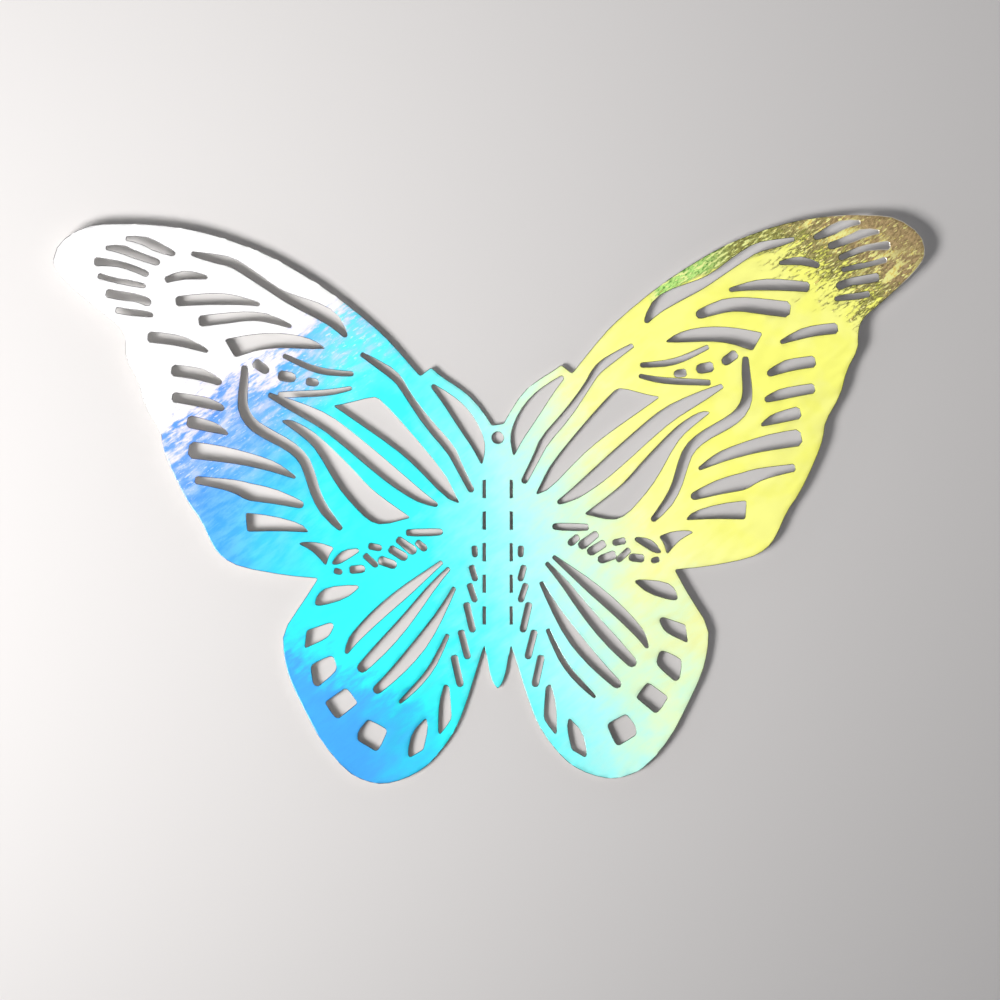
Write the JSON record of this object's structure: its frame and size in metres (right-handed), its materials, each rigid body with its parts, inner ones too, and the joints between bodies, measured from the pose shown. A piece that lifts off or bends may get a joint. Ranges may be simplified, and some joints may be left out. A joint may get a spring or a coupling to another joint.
{
  "type": "die-cut butterfly",
  "caption": "Die-cut foil card butterfly with pierced wings that fold up along perforated lines beside the spine, and a hanging hole in the head.",
  "frame": {"origin": "back face of the spine, on the body's axis, level with the middle perforation", "axes": "+X towards the right wing's tip, +Y towards the head, +Z out of the foil side"},
  "size_m": [0.12, 0.0784, 0.0019],
  "materials": {
    "card": "matte",
    "spine_foil": "gloss",
    "left_foil": "gloss",
    "right_foil": "gloss"
  },
  "bodies": {
    "spine": {"spine_card": "card", "spine_foil": "spine_foil", "left_fold_webs": "card", "right_fold_webs": "card"},
    "left_wing": {"left_wing_card": "card", "left_wing_foil": "left_foil"},
    "right_wing": {"right_wing_card": "card", "right_wing_foil": "right_foil"}
  },
  "joints": [
    {"name": "left_wing_fold", "type": "hinge", "parent": "spine", "child": "left_wing", "pos_m": [-0.00203, 0, 0.00032], "axis": [0, 1, 0], "range_deg": [-1.5, 88.5]},
    {"name": "right_wing_fold", "type": "hinge", "parent": "spine", "child": "right_wing", "pos_m": [0.00203, 0, 0.00032], "axis": [0, -1, 0], "range_deg": [-1.5, 88.5]}
  ]
}
